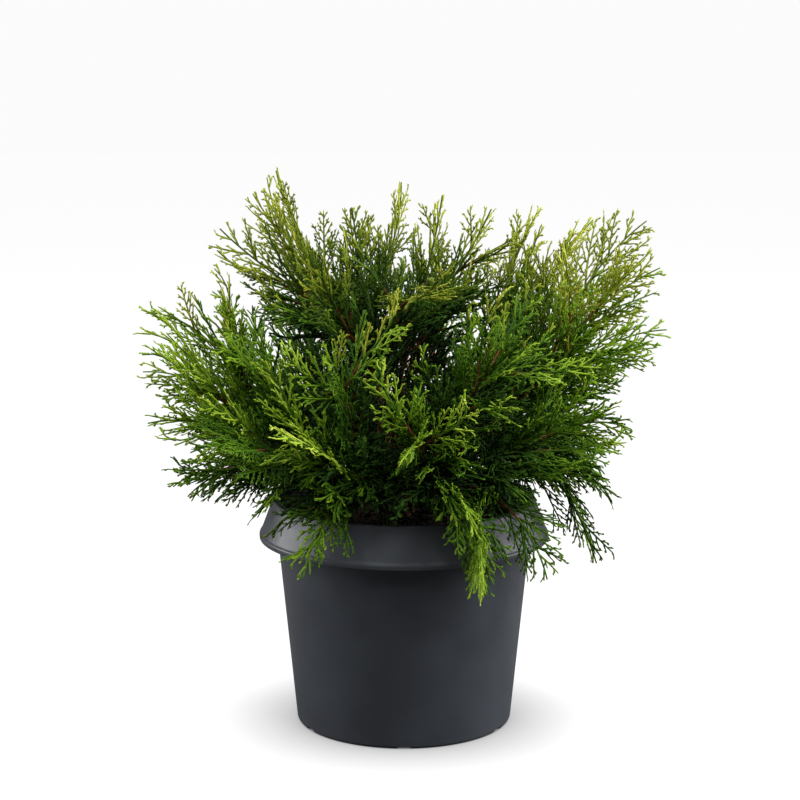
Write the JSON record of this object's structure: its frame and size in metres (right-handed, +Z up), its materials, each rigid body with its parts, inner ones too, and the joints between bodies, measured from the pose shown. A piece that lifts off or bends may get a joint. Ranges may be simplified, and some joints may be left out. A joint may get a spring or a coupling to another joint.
{
  "type": "potted siberian cypress",
  "caption": "Low spreading evergreen shrub with lacy flattened sprays of scale leaves on radiating boughs, in a round rimmed plastic nursery pot.",
  "frame": {"origin": "centre of the flat underside of the pot, on the surface that it stands on", "axes": "+Z up along the pot's axis; +X to the right and +Y away from the viewer of the picture"},
  "size_m": [0.3418, 0.319, 0.3611],
  "materials": {
    "pot": "satin moulded polypropylene, anthracite",
    "soil": "moist crumbly compost, dark brown",
    "bark": "matt red-brown bark in small flakes",
    "foliage_leader": "soft satin scale leaves, yellow-green",
    "foliage_upper": "soft satin scale leaves, yellow-green",
    "foliage_spread": "soft satin scale leaves, mid green",
    "foliage_skirt": "soft satin scale leaves, deep green",
    "foliage_inner": "soft satin scale leaves, dark green"
  },
  "bodies": {
    "root": {"pot": "pot", "soil": "soil", "trunk": "bark", "bough_01": "bark", "bough_02": "bark", "bough_03": "bark", "bough_04": "bark", "bough_05": "bark", "bough_06": "bark", "bough_07": "bark", "bough_08": "bark", "bough_09": "bark", "bough_10": "bark", "leader_1": "bark", "leader_2": "bark", "leader_3": "bark", "foliage_leader_01": "foliage_leader", "foliage_leader_02": "foliage_leader", "foliage_leader_03": "foliage_leader", "foliage_leader_04": "foliage_leader", "foliage_leader_05": "foliage_leader", "foliage_leader_06": "foliage_leader", "foliage_leader_07": "foliage_leader", "foliage_leader_08": "foliage_leader", "foliage_leader_09": "foliage_leader", "foliage_upper_01": "foliage_upper", "foliage_upper_02": "foliage_upper", "foliage_upper_03": "foliage_upper", "foliage_upper_04": "foliage_upper", "foliage_upper_05": "foliage_upper", "foliage_upper_06": "foliage_upper", "foliage_upper_07": "foliage_upper", "foliage_upper_08": "foliage_upper", "foliage_upper_09": "foliage_upper", "foliage_upper_10": "foliage_upper", "foliage_spread_01": "foliage_spread", "foliage_spread_02": "foliage_spread", "foliage_spread_03": "foliage_spread", "foliage_spread_04": "foliage_spread", "foliage_spread_05": "foliage_spread", "foliage_spread_06": "foliage_spread", "foliage_spread_07": "foliage_spread", "foliage_spread_08": "foliage_spread", "foliage_spread_09": "foliage_spread", "foliage_spread_10": "foliage_spread", "foliage_spread_11": "foliage_spread", "foliage_spread_12": "foliage_spread", "foliage_skirt_01": "foliage_skirt", "foliage_skirt_02": "foliage_skirt", "foliage_skirt_03": "foliage_skirt", "foliage_skirt_04": "foliage_skirt", "foliage_skirt_05": "foliage_skirt", "foliage_skirt_06": "foliage_skirt", "foliage_skirt_07": "foliage_skirt", "foliage_skirt_08": "foliage_skirt", "foliage_inner_01": "foliage_inner", "foliage_inner_02": "foliage_inner", "foliage_inner_03": "foliage_inner", "foliage_inner_04": "foliage_inner", "foliage_inner_05": "foliage_inner"}
  },
  "joints": []
}
